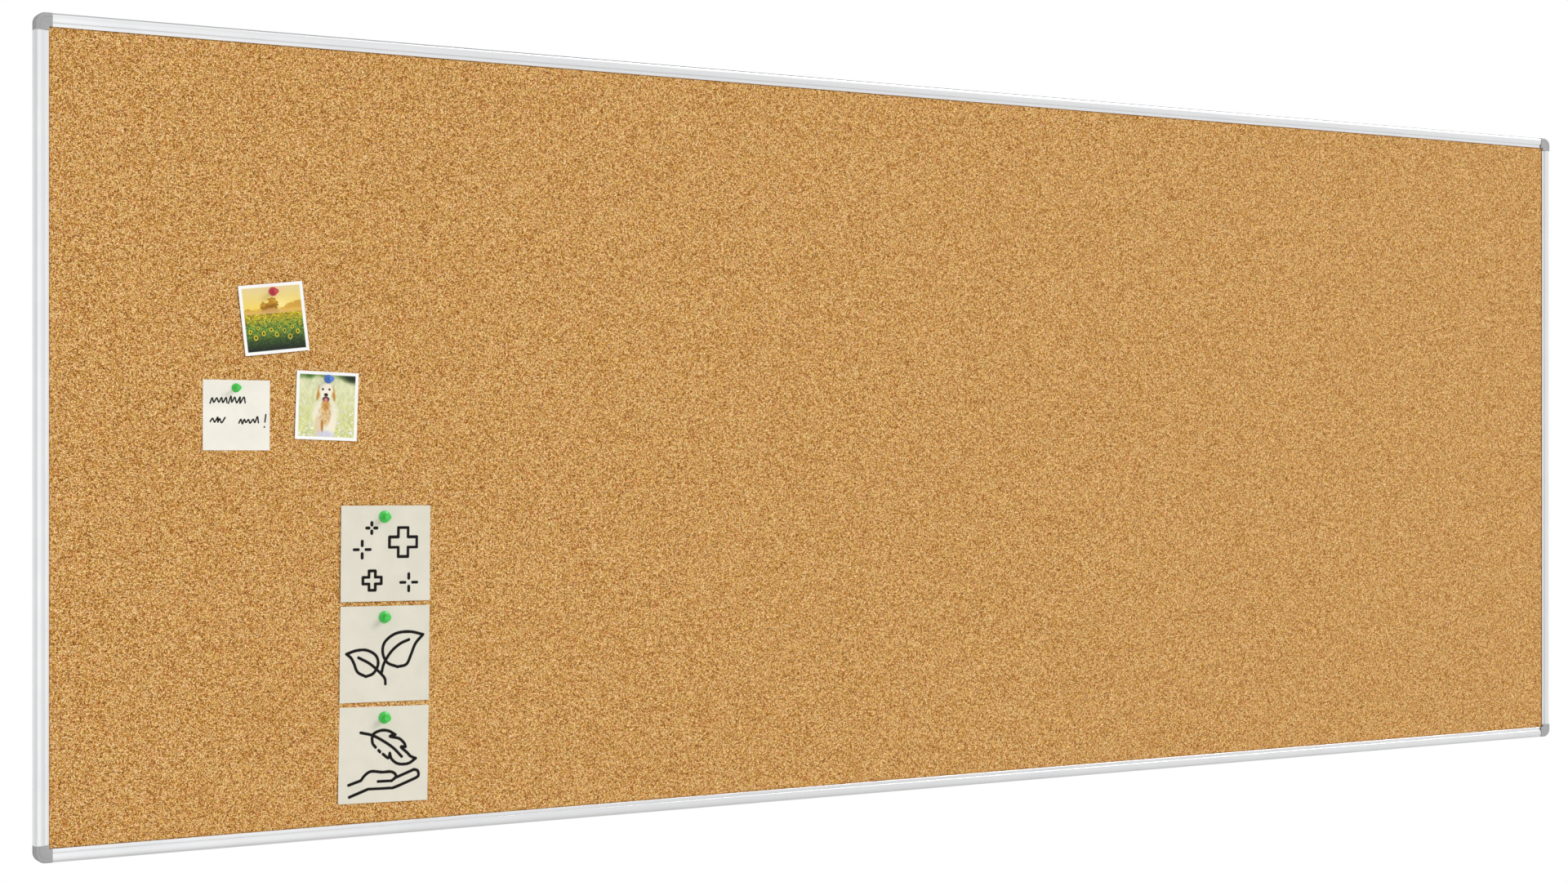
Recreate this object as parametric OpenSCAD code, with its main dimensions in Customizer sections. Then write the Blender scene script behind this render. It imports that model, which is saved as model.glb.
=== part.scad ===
// Wall-mounted cork bulletin board: an aluminium frame with plastic corners
// around a laminated cork panel, with six papers held by push pins.
// The model lies flat while it is built, with X to the right, Y up the board
// and Z out of the wall. stand_up() then turns it upright: the wall plane is
// Y = 0, the cork faces -Y and +Z is up. The origin is the middle of the back.

/* [Board] */
// Overall width of the framed board
board_w = 2500; // [900:10:3000]
// Overall height of the framed board
board_h = 1000; // [750:10:1500]

/* [Panel] */
// Thickness of the agglomerated cork sheet
cork_t = 2; // [1.5:0.5:6]
// Thickness of the soft fibreboard core
core_t = 6.5; // [6:0.5:12]
// Thickness of the backing sheet
backing_t = 0.5; // [0.3:0.1:1.5]
// Free space between the panel's edge and the floor of a rail's slot
panel_edge_gap = 0.5; // [0.2:0.1:1]
// Free space between the cork's face and the lip over it
panel_face_gap = 0.1; // [0.05:0.05:0.3]

/* [Frame rails] */
// Width of a rail's face
rail_w = 16.5; // [16.5:0.5:25]
// Wall thickness of the extrusion
rail_wall = 1.3; // [1:0.1:1.6]
// Width of the hollow chamber that takes a corner prong
chamber_w = 4; // [3.6:0.1:5]
// Thickness of the flange behind the panel
rear_lip_t = 1.2; // [1.2:0.1:2]
// Thickness of the flat inner lip in front of the cork
front_lip_t = 1.3; // [1:0.1:2]
// Width of the flat inner lip
front_lip_w = 5; // [3:0.5:6]
// Height of the rounded outer band over the flat inner lip
crown_rise = 1.4; // [0.8:0.1:2]
// Radius of the outer band's shallow crown
crown_r = 30; // [25:1:60]
// Radius of the rounded outer shoulder
shoulder_r = 3; // [2:0.5:4]
// Width of the shadow groove beside the inner lip
groove_w = 0.6; // [0.4:0.1:1]
// Depth of the shadow groove below the inner lip
groove_d = 0.4; // [0.2:0.1:0.6]

/* [Corners] */
// How far a corner reaches along a rail past the frame's inner edge
corner_reach = 4; // [4:0.5:10]
// Outer corner radius
corner_r = 12.5; // [8:0.5:14]
// Height of a cap over the crown of the rails
cap_proud = 0.7; // [0.3:0.1:1.5]
// Thickness of a cap's face
cap_face_t = 1.8; // [1.4:0.1:2.4]
// Thickness of the skirt round a cap's outer sides
cap_skirt_t = 1.2; // [1:0.1:1.2]
// Height of a cap's skirt above the wall
cap_skirt_z = 4; // [3:0.5:6]
// Thickness of a cap's inner edge over the cork
cap_lip_t = 0.9; // [0.7:0.1:1.2]
// Distance of the line around a cap's face from its outer edge
cap_line_inset = 5; // [4:0.5:6]
// Width of that line
cap_line_w = 0.5; // [0.3:0.1:0.8]
// Depth of that line
cap_line_d = 0.3; // [0.2:0.1:0.6]
// Free space between a cap and the block and rails around it
cap_gap = 0.1; // [0.05:0.05:0.2]
// Diameter of the two pegs that hold a cap
peg_d = 2.5; // [2:0.1:2.5]
// Length of a peg below the cap's face
peg_l = 7; // [4:0.5:7]
// Radial clearance of a peg in its hole
peg_gap = 0.05; // [0.02:0.01:0.1]
// Length of a prong inside a rail
prong_l = 30; // [20:1:60]
// Free space around a prong in its chamber
prong_gap = 0.1; // [0.05:0.05:0.2]
// Free space between a rail's end and the corner
rail_end_gap = 0.1; // [0:0.05:0.5]

/* [Wall screws] */
// Distance of a wall-screw hole from both outer edges
wall_hole_inset = 9; // [8.5:0.5:9]
// Diameter of a wall-screw hole
wall_hole_d = 5.5; // [4:0.5:6]
// Diameter of the pocket that takes the screw's head
head_pocket_d = 10; // [8:0.5:10]
// Thickness of the block's floor under the screw's head
head_floor_t = 3; // [2:0.5:4]
// Wall left between that pocket and the panel
pocket_wall = 1.3; // [1:0.1:1.5]
// Free space between a corner block and the notched panel
notch_gap = 0.3; // [0.2:0.1:0.4]

/* [Corner screws] */
// Distance of a corner screw from the corner's end
joint_screw_inset = 15; // [10:1:18]
// Shank diameter of a corner screw
joint_screw_d = 2.8; // [2.2:0.1:2.9]
// Length of a corner screw
joint_screw_l = 9; // [7:0.5:10]
// Head diameter of a corner screw
joint_head_d = 4.8; // [4:0.1:5]
// Height of the countersunk head
joint_head_t = 1; // [0.8:0.1:1.2]
// Radial clearance of the screw in the rail's wall
joint_screw_gap = 0.1; // [0.05:0.05:0.2]

/* [Push pins] */
// Diameter of a needle
needle_d = 1.1; // [0.9:0.1:1.4]
// Length of a needle below the head
needle_l = 8.2; // [6:0.1:8.4]
// Length of a needle inside the head
needle_hold = 7; // [5:0.5:8]
// Length of a needle's point
needle_tip = 2; // [1:0.5:3]
// Radial clearance of a needle in the paper, cork and core
needle_gap = 0.05; // [0.02:0.01:0.1]
// Height of a pin's head
head_h = 12.5; // [11:0.5:16]
// Thickness of a head's flange
flange_t = 1.6; // [1.2:0.1:2]
// Flange diameter of a small pin
small_flange_d = 11; // [9:0.5:13]
// Top diameter of a small pin
small_top_d = 6.4; // [5:0.2:8]
// Flange diameter of a large pin
large_flange_d = 15.4; // [13:0.2:18]
// Top diameter of a large pin
large_top_d = 8.8; // [7:0.2:10]

/* [Papers] */
// Thickness of a paper
paper_t = 0.25; // [0.2:0.05:0.4]
// Free space between the cork and the lowest papers
paper_gap = 0.1; // [0.05:0.05:0.3]
// Step from one layer of papers to the next, so that they can swing
layer_step = 0.5; // [0.5:0.05:0.7]
// Each pin's place is its distance right of and above the lower left corner.
// Pin of the landscape print
landscape_pin = [289, 680]; // [0:1:3000]
// Width and height of the landscape print
landscape_size = [82, 86]; // [60:1:100]
// Pin of the pet print
pet_pin = [360.5, 573]; // [0:1:3000]
// Width and height of the pet print
pet_size = [80.5, 85]; // [60:1:100]
// Pin of the memo note
memo_pin = [242.5, 561]; // [0:1:3000]
// Width and height of the memo note
memo_size = [84, 86]; // [60:1:100]
// Pin of the lowest square note
care_pin = [434.5, 147.5]; // [0:1:3000]
// Step from one square note up to the next
square_pitch = 126.5; // [126:0.5:140]
// Width and height of the square notes
square_size = [119, 120.5]; // [80:1:120.5]

/* [Hidden] */
$fn = 64;
// Overshoot of a cutting shape past the surface that it cuts
cut = 1;

// Heights above the wall, through the panel and the frame
core_z = rear_lip_t + backing_t;
cork_z = core_z + core_t;
cork_face_z = cork_z + cork_t;
slot_top_z = cork_face_z + panel_face_gap;
lip_z = slot_top_z + front_lip_t;
rail_d = lip_z + crown_rise;
cap_z = rail_d + cap_proud;
cap_under_z = cap_z - cap_face_t;

// Distances in from a rail's outer edge
slot_u = 2 * rail_wall + chamber_w;
panel_u = slot_u + panel_edge_gap;
band_u = rail_w - front_lip_w;
chamber_top_z = rail_d - rail_wall - 0.5;

// The corner block
corner_len = rail_w + corner_reach;
block_u = cap_skirt_t + cap_gap;
arm_u = panel_u - notch_gap;
post_u = wall_hole_inset + head_pocket_d / 2 + pocket_wall;
notch_u = post_u + notch_gap;
prong_u = rail_wall + chamber_w / 2;
peg_u = (block_u + arm_u) / 2;
peg_along = corner_len - peg_d / 2 - pocket_wall;
joint_screw_along = corner_len + joint_screw_inset;

// The papers: pin, size, tilt (anticlockwise), the pin's distance right of
// the paper's middle, its distance below the top edge, and the layer
landscape = [landscape_pin, landscape_size, 6.3, 2.6, 10, 2];
pet = [pet_pin, pet_size, -2.1, 0.8, 9, 1];
memo = [memo_pin, memo_size, -0.3, -0.8, 9.6, 0];
care = [care_pin, square_size, -1.2, 0, 14.1, 0];
leaf = [care_pin + [0, square_pitch], square_size, -0.7, -1, 14.1, 1];
sparkle = [care_pin + [0, 2 * square_pitch], square_size, -0.6, -2, 14.1, 2];
papers = [landscape, pet, memo, sparkle, leaf, care];

small_pin = [small_flange_d / 2, small_top_d / 2];
large_pin = [large_flange_d / 2, large_top_d / 2];

// Height of a paper's back above the wall, and of its front
function paper_z(paper) = cork_face_z + paper_gap + layer_step * paper[5];
function paper_front_z(paper) = paper_z(paper) + paper_t;

// Turns the flat model upright
module stand_up() rotate([90, 0, 0]) children();

// Places what is drawn at a pin's hole
module at_pin(paper)
  translate([paper[0][0] - board_w / 2, paper[0][1] - board_h / 2, 0]) children();

// ---- Frame rails ----

// Section of a rail: across from its outer edge, and up from the wall
module rail_section() {
  difference() {
    union() {
      square([rail_w, lip_z]);
      intersection() {
        square([band_u, rail_d]);
        translate([band_u / 2, rail_d - crown_r]) circle(r = crown_r);
      }
    }
    difference() {
      translate([-cut, rail_d - shoulder_r]) square([shoulder_r + cut, shoulder_r + cut]);
      translate([shoulder_r, rail_d - shoulder_r]) circle(r = shoulder_r);
    }
    translate([rail_wall, rail_wall]) square([chamber_w, chamber_top_z - rail_wall]);
    translate([slot_u, rear_lip_t]) square([rail_w - slot_u + cut, slot_top_z - rear_lip_t]);
    translate([band_u, lip_z - groove_d]) square([groove_w, groove_d + cut]);
  }
}

// Clearance hole and countersink of one corner screw, from the back
module rail_screw_hole() {
  hole_r = joint_screw_d / 2 + joint_screw_gap;
  head_r = joint_head_d / 2 + joint_screw_gap;
  translate([0, 0, -cut]) cylinder(r = hole_r, h = rail_wall + 2 * cut);
  cylinder(r1 = head_r, r2 = hole_r, h = joint_head_t);
  translate([0, 0, -cut]) cylinder(r = head_r, h = cut);
}

// A rail along X whose outer edge faces -Y
module rail(span) {
  length = span - 2 * (corner_len + rail_end_gap);
  color([0.86, 0.87, 0.88]) difference() {
    rotate([90, 0, 90]) linear_extrude(height = length, center = true) rail_section();
    for (side = [-1, 1])
      translate([side * (span / 2 - joint_screw_along), prong_u, 0]) rail_screw_hole();
  }
}

module rail_at(turn, span, across)
  stand_up() rotate([0, 0, turn]) translate([0, -across / 2, 0]) rail(span);

module frame_rail_bottom() rail_at(0, board_w, board_h);
module frame_rail_right() rail_at(90, board_h, board_w);
module frame_rail_top() rail_at(180, board_w, board_h);
module frame_rail_left() rail_at(270, board_h, board_w);

// ---- Panel ----

// The panel's outline, with a square notch at each corner for the block
module panel_outline() {
  square([board_w - 2 * panel_u, board_h - 2 * notch_u], center = true);
  square([board_w - 2 * notch_u, board_h - 2 * panel_u], center = true);
}

// One layer of the panel, with the holes that the needles have made
module panel_layer(low, thickness) {
  difference() {
    translate([0, 0, low]) linear_extrude(height = thickness) panel_outline();
    for (paper = papers) at_pin(paper)
      translate([0, 0, paper_front_z(paper) - needle_l - needle_gap])
        cylinder(r = needle_d / 2 + needle_gap, h = needle_l + cut);
  }
}

module cork_sheet() color([0.80, 0.61, 0.37]) stand_up() panel_layer(cork_z, cork_t);
module fibreboard_core() color([0.66, 0.55, 0.42]) stand_up() panel_layer(core_z, core_t);
module backing_sheet() color([0.78, 0.78, 0.76]) stand_up()
  translate([0, 0, rear_lip_t]) linear_extrude(height = backing_t) panel_outline();

// ---- Corners: drawn for the lower left, with the outer corner at 0, 0 ----

// An L with rounded outer corner: inset from the outer edges, as far as
// reach along both rails, and as wide as inner
module corner_outline(inset, reach, inner) {
  difference() {
    union() {
      translate([inset, inset]) square([reach - inset, inner - inset]);
      translate([inset, inset]) square([inner - inset, reach - inset]);
    }
    difference() {
      translate([-cut, -cut]) square([corner_r + cut, corner_r + cut]);
      translate([corner_r, corner_r]) circle(r = corner_r - inset);
    }
  }
}

// The block's outline where it stands beside the panel
module post_outline(inset) {
  corner_outline(inset, corner_len, arm_u);
  corner_outline(inset, post_u, post_u);
}

// Repeats what is drawn for one arm on the other arm
module both_arms() {
  children();
  mirror([1, -1, 0]) children();
}

// One prong and its lead-in taper, along X
module prong() {
  width = chamber_w - 2 * prong_gap;
  low = rail_wall + prong_gap;
  high = chamber_top_z - prong_gap;
  lead = 0.8;
  translate([corner_len, prong_u + width / 2, 0]) rotate([90, 0, 0])
    linear_extrude(height = width)
      polygon([[-cut, low], [prong_l - lead, low], [prong_l, low + lead],
               [prong_l, high - lead], [prong_l - lead, high], [-cut, high]]);
}

module corner_block() {
  color([0.55, 0.55, 0.56]) difference() {
    union() {
      linear_extrude(height = rear_lip_t) corner_outline(0, corner_len, rail_w);
      linear_extrude(height = cap_skirt_z - cap_gap) post_outline(0);
      linear_extrude(height = cap_under_z) post_outline(block_u);
      both_arms() prong();
    }
    translate([wall_hole_inset, wall_hole_inset, -cut])
      cylinder(d = wall_hole_d, h = head_floor_t + 2 * cut);
    translate([wall_hole_inset, wall_hole_inset, head_floor_t])
      cylinder(d = head_pocket_d, h = cap_under_z);
    both_arms() translate([peg_along, peg_u, cap_under_z - peg_l - peg_gap])
      cylinder(r = peg_d / 2 + peg_gap, h = peg_l + cut);
    both_arms() translate([joint_screw_along, prong_u, 0])
      cylinder(d = joint_screw_d, h = joint_screw_l);
  }
}

// The cap's cavity: over the block, and wider below the lip over the cork
module cap_cavity() {
  translate([0, 0, cap_skirt_z - cut]) {
    linear_extrude(height = cap_under_z - cap_skirt_z + cut) {
      corner_outline(cap_skirt_t, corner_len + cut, rail_w - cap_lip_t);
      corner_outline(cap_skirt_t, post_u + cap_gap, post_u + cap_gap);
    }
    linear_extrude(height = slot_top_z - cap_skirt_z + cut)
      corner_outline(cap_skirt_t, corner_len + cut, rail_w + cut);
  }
}

module corner_cap() {
  color([0.66, 0.66, 0.67]) {
    difference() {
      translate([0, 0, cap_skirt_z]) linear_extrude(height = cap_z - cap_skirt_z)
        corner_outline(0, corner_len, rail_w);
      cap_cavity();
      translate([0, 0, cap_z - cap_line_d]) linear_extrude(height = cap_line_d + cut)
        difference() {
          corner_outline(cap_line_inset, corner_len + cut, rail_w + cut);
          corner_outline(cap_line_inset + cap_line_w, corner_len + 2 * cut, rail_w + 2 * cut);
        }
    }
    both_arms() translate([peg_along, peg_u, cap_under_z - peg_l])
      cylinder(d = peg_d, h = peg_l);
  }
}

// Puts a lower left corner at the corner on side right and side up (-1 or 1)
module at_corner(right, up)
  stand_up() translate([right * board_w / 2, up * board_h / 2, 0])
    mirror([right > 0 ? 1 : 0, 0, 0]) mirror([0, up > 0 ? 1 : 0, 0]) children();

// One countersunk corner screw, its head towards the wall
module joint_screw() {
  difference() {
    union() {
      cylinder(d1 = joint_head_d, d2 = joint_screw_d, h = joint_head_t);
      cylinder(d = joint_screw_d, h = joint_screw_l - joint_screw_d / 2);
      translate([0, 0, joint_screw_l - joint_screw_d / 2])
        cylinder(d1 = joint_screw_d, d2 = 0.4, h = joint_screw_d / 2);
    }
    for (turn = [0, 90]) rotate([0, 0, turn]) cube([2.6, 0.6, 1.2], center = true);
  }
}

module corner_screws() {
  color([0.75, 0.76, 0.78])
    for (right = [-1, 1], up = [-1, 1]) at_corner(right, up)
      both_arms() translate([joint_screw_along, prong_u, 0]) joint_screw();
}

// ---- Papers and push pins ----

module paper(sheet, shade) {
  size = sheet[1];
  color(shade) stand_up() at_pin(sheet) translate([0, 0, paper_z(sheet)]) difference() {
    rotate([0, 0, sheet[2]])
      translate([-sheet[3] - size[0] / 2, sheet[4] - size[1], 0]) cube([size[0], size[1], paper_t]);
    translate([0, 0, -cut]) cylinder(r = needle_d / 2 + needle_gap, h = paper_t + 2 * cut);
  }
}

// Radius of a pin's grip at share t of the way from its foot to its top
function grip_r(top_r, t) = top_r * (0.70 + 0.30 * pow(abs(2 * t - 1), 1.7));

// Section of a pin's head: flange, waisted grip and top
module head_section(pin) {
  flange_r = pin[0];
  top_r = pin[1];
  edge = 0.4;
  foot_z = flange_t + 0.5;
  brim_z = head_h - 1.6;
  polygon(concat(
    [[0, 0], [flange_r - edge, 0], [flange_r, edge], [flange_r, flange_t - edge],
     [flange_r - edge, flange_t]],
    [for (t = [0:0.1:1]) [grip_r(top_r, t), foot_z + t * (brim_z - foot_z)]],
    [[top_r, head_h - edge], [top_r - edge, head_h], [0, head_h]]));
}

module pin_head(sheet, pin, shade) {
  color(shade) stand_up() at_pin(sheet) translate([0, 0, paper_front_z(sheet)]) difference() {
    rotate_extrude() head_section(pin);
    translate([0, 0, -cut]) cylinder(d = needle_d, h = needle_hold + cut);
  }
}

module pin_needle(sheet) {
  color([0.80, 0.81, 0.83]) stand_up() at_pin(sheet) translate([0, 0, paper_front_z(sheet)]) {
    translate([0, 0, needle_tip - needle_l])
      cylinder(d = needle_d, h = needle_l + needle_hold - needle_tip);
    translate([0, 0, -needle_l]) cylinder(d1 = 0.1, d2 = needle_d, h = needle_tip);
  }
}

red = [0.80, 0.24, 0.30];
blue = [0.28, 0.48, 0.85];
green = [0.28, 0.82, 0.32];
card = [0.91, 0.89, 0.84];

frame_rail_top();
frame_rail_bottom();
frame_rail_left();
frame_rail_right();
cork_sheet();
fibreboard_core();
backing_sheet();
at_corner(-1, 1) corner_block();  // corner_block_top_left
at_corner(1, 1) corner_block();  // corner_block_top_right
at_corner(-1, -1) corner_block();  // corner_block_bottom_left
at_corner(1, -1) corner_block();  // corner_block_bottom_right
at_corner(-1, 1) corner_cap();  // corner_cap_top_left
at_corner(1, 1) corner_cap();  // corner_cap_top_right
at_corner(-1, -1) corner_cap();  // corner_cap_bottom_left
at_corner(1, -1) corner_cap();  // corner_cap_bottom_right
corner_screws();
paper(landscape, [0.93, 0.66, 0.30]);  // landscape_print
pin_head(landscape, small_pin, red);  // landscape_pin_head
pin_needle(landscape);  // landscape_pin_needle
paper(pet, [0.84, 0.88, 0.62]);  // pet_print
pin_head(pet, small_pin, blue);  // pet_pin_head
pin_needle(pet);  // pet_pin_needle
paper(memo, card);  // memo_note
pin_head(memo, small_pin, green);  // memo_pin_head
pin_needle(memo);  // memo_pin_needle
paper(sparkle, card);  // sparkle_note
pin_head(sparkle, large_pin, green);  // sparkle_pin_head
pin_needle(sparkle);  // sparkle_pin_needle
paper(leaf, card);  // leaf_note
pin_head(leaf, large_pin, green);  // leaf_pin_head
pin_needle(leaf);  // leaf_pin_needle
paper(care, card);  // care_note
pin_head(care, large_pin, green);  // care_pin_head
pin_needle(care);  // care_pin_needle
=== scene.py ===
"""A framed cork notice board with six pinned papers: its looks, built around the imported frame.

Sizes are millimetres until place() turns them into metres. A point is (right, up, out): right and up
from the middle of the board, and out from the wall towards the room. The front of the board faces -Y.
"""

import math

import bmesh
import bpy
import numpy as np
from mathutils.geometry import tessellate_polygon
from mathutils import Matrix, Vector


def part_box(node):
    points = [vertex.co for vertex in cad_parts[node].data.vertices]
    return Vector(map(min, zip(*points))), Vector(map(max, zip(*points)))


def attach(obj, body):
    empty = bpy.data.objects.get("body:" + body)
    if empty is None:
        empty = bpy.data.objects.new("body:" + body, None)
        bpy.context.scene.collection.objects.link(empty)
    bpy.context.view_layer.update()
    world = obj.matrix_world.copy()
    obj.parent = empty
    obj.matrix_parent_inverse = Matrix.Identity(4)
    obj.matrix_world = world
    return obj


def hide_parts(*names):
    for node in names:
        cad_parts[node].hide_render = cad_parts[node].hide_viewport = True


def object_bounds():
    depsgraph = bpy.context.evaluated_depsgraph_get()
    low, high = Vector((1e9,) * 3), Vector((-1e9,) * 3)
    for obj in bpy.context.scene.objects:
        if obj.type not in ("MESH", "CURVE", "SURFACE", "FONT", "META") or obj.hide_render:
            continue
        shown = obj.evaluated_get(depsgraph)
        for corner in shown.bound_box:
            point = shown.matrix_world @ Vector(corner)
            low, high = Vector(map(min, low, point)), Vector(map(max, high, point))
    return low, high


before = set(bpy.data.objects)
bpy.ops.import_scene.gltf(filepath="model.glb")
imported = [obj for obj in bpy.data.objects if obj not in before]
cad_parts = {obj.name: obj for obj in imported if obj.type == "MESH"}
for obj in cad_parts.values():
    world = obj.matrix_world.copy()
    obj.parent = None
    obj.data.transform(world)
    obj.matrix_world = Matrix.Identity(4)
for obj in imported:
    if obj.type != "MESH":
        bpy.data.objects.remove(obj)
cad_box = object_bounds()

MM = 0.001
SEED = 7

# The board, as packed
BOARD_HALF_W = cad_box[1].x / MM
BOARD_HALF_H = cad_box[1].z / MM

# Section of a rail: across from its outer edge, and out from the wall
RAIL_W = 16.5
RAIL_WALL = 1.3
CHAMBER_W = 4.0
REAR_LIP_T = 1.2
BAND_U = 11.5
GROOVE_W = 0.6
GROOVE_D = 0.4
SLOT_U = 6.6
SLOT_TOP = 10.3
LIP_TOP = 11.6
RAIL_D = 13.0
CHAMBER_TOP = 11.2
CROWN_R = 30.0
SHOULDER_R = 3.0
RAIL_EDGE_R = 0.3
LIP_EDGE_R = 0.5
RAIL_END_GAP = 0.1

# Corners: a cap over a block, with the outer corner at 0, 0
CORNER_LEN = 20.5
CORNER_R = 12.5
CAP_TOP = 13.7
CAP_UNDER = 11.9
CAP_SKIRT_T = 1.2
CAP_SKIRT_FOOT = 4.0
CAP_LIP_T = 0.9
CAP_LINE_U = 5.0
CAP_LINE_W = 0.5
CAP_LINE_D = 0.3
CAP_SHOULDER_R = 2.2
PEG_R = 1.25
PEG_L = 7.0
PEG_U = 4.05
PEG_ALONG = 17.95
JOINT_SCREW_ALONG = 35.5
JOINT_SCREW_U = 3.3
SCREW_HOLE_R = 1.5
SCREW_SINK_R = 2.5
SCREW_SINK_D = 1.0

# The panel
PANEL_U = 7.1
NOTCH_U = 15.6
CORK_BACK = 8.2
CORK_FACE = 10.2
CORK_CELL = 9.0
CORK_RELIEF = 0.12
NEEDLE_HOLE_R = 0.6
NEEDLE_HOLE_CELL = 2.0
HOLE_SIDES = 12

# Push pins
HEAD_H = 12.5
FLANGE_T = 1.6
NEEDLE_R = 0.55
NEEDLE_L = 8.2
NEEDLE_TIP = 2.0

PAPER_T = 0.25
# How many cells of a paper's front one cell of its back spans
BACK_STEP = 8
BACK_COLOURS = {"photo_print": (244, 244, 242), "note_paper": (234, 230, 220)}
INK = (24, 21, 20)
NOTE = (227, 222, 206)
MEMO = (243, 239, 227)
ICON_PEN = 3.8
MEMO_PEN = 1.8
# The field's horizon in its print, from 0 at the foot to 1 at the top
HORIZON = 0.575

# Each paper: width, height, tilt anticlockwise in degrees, the pin's distance right of the paper's
# middle and below its top edge, how far its lower edge curls up, and its mesh's cell
PAPERS = {
    "landscape_print": (82.0, 86.0, 6.3, 2.6, 10.0, 1.3, 0.45),
    "pet_print": (80.5, 85.0, -2.1, 0.8, 9.0, 1.4, 0.45),
    "memo_note": (84.0, 86.0, -0.3, -0.8, 9.6, 0.8, 0.5),
    "sparkle_note": (119.0, 120.5, -0.6, -2.0, 14.1, 1.0, 0.6),
    "leaf_note": (119.0, 120.5, -0.7, -1.0, 14.1, 1.1, 0.6),
    "care_note": (119.0, 120.5, -1.2, 0.0, 14.1, 1.7, 0.6),
}
PIN_SLOTS = {"landscape": "red_plastic", "pet": "blue_plastic"}
PIN_SLOTS.update(dict.fromkeys(("memo", "sparkle", "leaf", "care"), "green_plastic"))


# ---- Camera, light and floor ----


def make_camera():
    data = bpy.data.cameras.new("camera")
    data.lens = 57.5
    data.sensor_width = 36.0
    data.shift_y = -0.0026
    data.clip_start = 0.05
    data.clip_end = 200.0
    camera = add_object("camera", data)
    camera.location = (-1.9695, -2.9905, 0.001)
    camera.rotation_euler = (math.radians(90), 0, math.radians(-30.234))
    bpy.context.scene.camera = camera


def make_world():
    """A white room with a soft band of light in front of the board. The camera sees plain white."""
    across = [(-1.0, 0.90), (-0.5, 0.88), (-0.15, 0.96), (0.22, 1.30), (0.41, 0.92), (0.60, 0.93)]
    across += [(0.75, 0.99), (1.0, 1.15)]
    upward = [(-1.0, 0.76), (-0.5, 0.80), (-0.25, 0.90), (-0.06, 1.0), (0.08, 1.0), (0.2, 0.80)]
    upward += [(0.45, 0.92), (0.64, 0.58), (1.0, 0.48)]
    world = bpy.data.worlds.new("studio")
    world.use_nodes = True
    bpy.context.scene.world = world
    tree = world.node_tree
    tree.nodes.clear()
    towards = parted_vector(tree, node(tree, "TexCoord").outputs["Generated"])
    level = profile(tree, towards["X"], across)
    level = calc(tree, "MULTIPLY", level, profile(tree, towards["Z"], upward))
    room = node(tree, "Background", {"Color": (1, 1, 1, 1), "Strength": level})
    plain = node(tree, "Background", {"Color": (1, 1, 1, 1), "Strength": 1.0})
    seen = node(tree, "LightPath").outputs["Is Camera Ray"]
    both = node(tree, "MixShader", {0: seen, 1: room.outputs[0], 2: plain.outputs[0]})
    node(tree, "OutputWorld", {"Surface": both.outputs[0]})


def make_key_light():
    """One wide, soft light from the upper right, far enough away to light the long board evenly."""
    data = bpy.data.lights.new("key", "SUN")
    data.energy = 1.20
    data.angle = math.radians(24)
    x, y, z = 0.70, -0.68, 0.58
    tilt, turn = math.atan2(math.hypot(x, y), z), math.atan2(x, -y)
    add_object("key", data).rotation_euler = (tilt, 0, turn)


def make_floor():
    """A round pale floor below the board, which fades out towards its edge."""
    radius, height, spokes = 4.3, -1.4, 64
    bm = bmesh.new()
    bmesh.ops.create_circle(bm, cap_ends=True, segments=spokes, radius=radius)
    mesh = bpy.data.meshes.new("floor")
    bm.to_mesh(mesh)
    bm.free()
    floor = add_object("floor", mesh)
    floor.location = (0, 0, height)
    material, tree, shader = new_material("floor")
    spot = node(tree, "TexCoord").outputs["Object"]
    away = node(tree, "VectorMath", {0: spot}, operation="LENGTH").outputs["Value"]
    shader.inputs["Base Color"].default_value = (0.86, 0.86, 0.85, 1)
    shader.inputs["Roughness"].default_value = 0.75
    put(tree, shader.inputs["Alpha"], map_range(tree, away, (1.2, radius), (1.0, 0.0), smooth=True))
    mesh.materials.append(material)


# ---- Node trees ----


def put(tree, socket, value):
    """Links value to the socket if it is a socket too, and otherwise sets it there."""
    if isinstance(value, bpy.types.NodeSocket):
        tree.links.new(value, socket)
    else:
        socket.default_value = value


def node(tree, kind, inputs=None, **settings):
    """Adds a shader node. inputs gives its sockets' values, by name or number."""
    made = tree.nodes.new("ShaderNode" + kind)
    for key, value in settings.items():
        setattr(made, key, value)
    for key, value in (inputs or {}).items():
        put(tree, made.inputs[key], value)
    return made


def new_material(name):
    material = bpy.data.materials.new(name)
    material.use_nodes = True
    tree = material.node_tree
    return material, tree, tree.nodes["Principled BSDF"]


def object_mm(tree, scale=(1, 1, 1)):
    """The surface's place in the row frame in millimetres, times scale."""
    place_m = node(tree, "TexCoord").outputs["Object"]
    scale_m = tuple(s / MM for s in scale)
    return node(tree, "Mapping", {"Vector": place_m, "Scale": scale_m}).outputs[0]


def noise(tree, vector, scale, detail=2.0, roughness=0.5, output="Fac"):
    inputs = {"Vector": vector, "Scale": scale, "Detail": detail, "Roughness": roughness}
    return node(tree, "TexNoise", inputs).outputs[output]


def voronoi(tree, vector, scale, feature="F1"):
    return node(tree, "TexVoronoi", {"Vector": vector, "Scale": scale}, feature=feature).outputs


def calc(tree, operation, a, b=0.0, c=0.0):
    return node(tree, "Math", {0: a, 1: b, 2: c}, operation=operation).outputs[0]


def weighted(tree, *terms):
    """The sum of values times their weights."""
    total = 0.0
    for value, weight in terms:
        total = calc(tree, "MULTIPLY_ADD", value, weight, total)
    return total


def map_range(tree, value, source, target, smooth=False):
    inputs = {0: value, 1: source[0], 2: source[1], 3: target[0], 4: target[1]}
    kind = "SMOOTHSTEP" if smooth else "LINEAR"
    return node(tree, "MapRange", inputs, interpolation_type=kind, clamp=True).outputs[0]


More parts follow.
